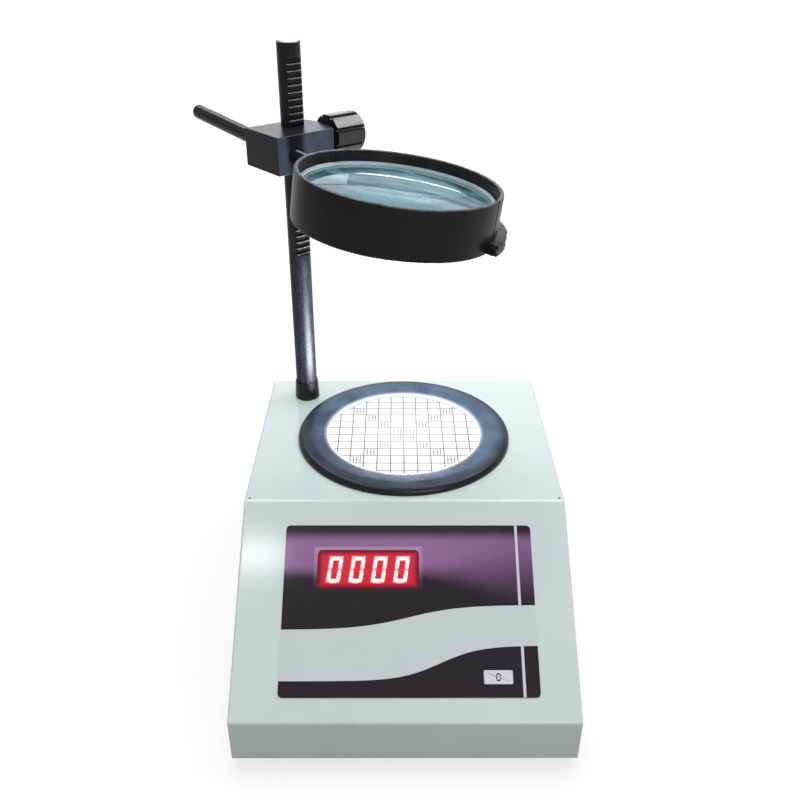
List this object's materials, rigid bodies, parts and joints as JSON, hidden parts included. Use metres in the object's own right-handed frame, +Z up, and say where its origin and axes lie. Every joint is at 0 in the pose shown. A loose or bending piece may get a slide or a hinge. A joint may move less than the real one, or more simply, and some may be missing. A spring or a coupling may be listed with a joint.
{
  "type": "digital colony counter",
  "caption": "Bench colony counter: sloping cabinet with a lit ruled disc, red digit display and a tilting magnifier on a rack-and-pinion post.",
  "frame": {"origin": "on the bench plane under the middle of the cabinet", "axes": "+X to the right seen from the front, +Y to the back, +Z up; the front faces -Y"},
  "size_m": [0.2763, 0.3409, 0.4025],
  "materials": {
    "cabinet_paint": "satin baked enamel, pale grey-green",
    "foot_rubber": "matt black rubber",
    "screw_steel": "zinc-plated steel",
    "screw_black": "black oxide steel",
    "overlay_film": "printed polyester film",
    "red_filter": "red tinted acrylic",
    "digit_glow": "lit segments",
    "display_black": "dark moulded plastic",
    "key_plastic": "pale moulded plastic",
    "board_green": "green circuit board",
    "component_black": "black moulded plastic",
    "brass": "turned brass",
    "lead_grey": "flat insulated lead",
    "core_iron": "varnished laminations",
    "coil_copper": "enamelled copper wire under tape",
    "ring_black": "dark slate-blue moulded plastic",
    "grid_glass": "ruled glass over an opal lamp",
    "diffuser_opal": "opal acrylic",
    "pan_white": "white paint",
    "lamp_chip": "lamp chips",
    "stand_black": "black gloss enamel",
    "knob_black": "black moulded plastic",
    "sleeve_nylon": "black nylon",
    "barrel_black": "black moulded plastic",
    "lens_glass": "clear glass with a faint teal cast",
    "rocker_red": "red moulded plastic"
  },
  "bodies": {
    "base": {"cabinet_shell": "cabinet_paint", "chassis_tray": "cabinet_paint", "rubber_feet": "foot_rubber", "foot_screws": "screw_steel", "base_screws": "screw_steel", "rear_screws": "screw_steel", "panel_overlay": "overlay_film", "display_filter": "red_filter", "led_digits": "digit_glow", "display_housing": "display_black", "reset_switch": "component_black", "front_board": "board_green", "front_pillars": "brass", "front_board_screws": "screw_steel", "front_components": "component_black", "buzzer": "component_black", "front_lead": "lead_grey", "power_board": "board_green", "power_pillars": "brass", "power_board_screws": "screw_steel", "power_components": "component_black", "transformer_core": "core_iron", "transformer_coil": "coil_copper", "transformer_strap": "screw_steel", "transformer_screws": "screw_steel", "ring_bezel": "ring_black", "grid_glass": "grid_glass", "diffuser": "diffuser_opal", "lamp_pan": "pan_white", "led_board": "pan_white", "lamp_leds": "lamp_chip", "ring_screws": "screw_steel", "post": "stand_black", "post_collar": "stand_black", "post_backing_plate": "stand_black", "post_washer": "screw_steel", "post_nut": "screw_steel", "mains_inlet": "component_black", "inlet_pins": "screw_steel", "inlet_screws": "screw_steel", "fuse_holder": "component_black", "panel_nuts": "component_black", "power_switch_frame": "component_black", "pen_socket": "component_black"},
    "carriage": {"carriage_block": "stand_black", "pinion_bush": "brass", "handle_grub_screw": "screw_black"},
    "focus_drive": {"pinion": "brass", "pinion_shaft": "screw_steel", "focus_knob": "knob_black", "knob_grub_screw": "screw_black"},
    "sleeve": {"handle_sleeve": "sleeve_nylon"},
    "magnifier": {"lens_handle": "stand_black", "lens_barrel": "barrel_black", "lens": "lens_glass", "lens_retaining_ring": "barrel_black", "barrel_clamp_screw": "screw_black"},
    "reset_key": {"reset_button": "key_plastic"},
    "rocker": {"power_rocker": "rocker_red"},
    "fuse_carrier": {"fuse_cap": "component_black"}
  },
  "joints": [
    {"name": "carriage_lift", "type": "slide", "parent": "base", "child": "carriage", "axis": [0, 0, 1], "range_m": [-0.072, 0.048]},
    {"name": "knob_turn", "type": "hinge", "parent": "carriage", "child": "focus_drive", "pos_m": [-0.07238, 0.11192, 0.3372], "axis": [0.766, 0.6428, 0], "range_deg": [-460, 689]},
    {"name": "lens_tilt", "type": "hinge", "parent": "carriage", "child": "sleeve", "pos_m": [-0.09318, 0.10994, 0.3328], "axis": [0.641, -0.7639, -0.075], "range_deg": [-40, 40]},
    {"name": "lens_reach", "type": "slide", "parent": "sleeve", "child": "magnifier", "axis": [0.641, -0.7639, -0.075], "range_m": [-0.02, 0.06]},
    {"name": "reset_press", "type": "slide", "parent": "base", "child": "reset_key", "axis": [0, 0.5823, -0.813], "range_m": [0, 0.0008], "stiffness_N_per_m": 2500, "springref_m": -0.0002},
    {"name": "power_tip", "type": "hinge", "parent": "base", "child": "rocker", "pos_m": [-0.016, 0.1445, 0.0492], "axis": [1, 0, 0], "range_deg": [-18, 0]},
    {"name": "fuse_turn", "type": "hinge", "parent": "base", "child": "fuse_carrier", "pos_m": [0.02, 0.146, 0.0492], "axis": [0, 1, 0], "range_deg": [-90, 0]}
  ],
  "couplings": [
    {"joint": "knob_turn", "follows": "carriage_lift", "rad_per_m": -166.67}
  ]
}
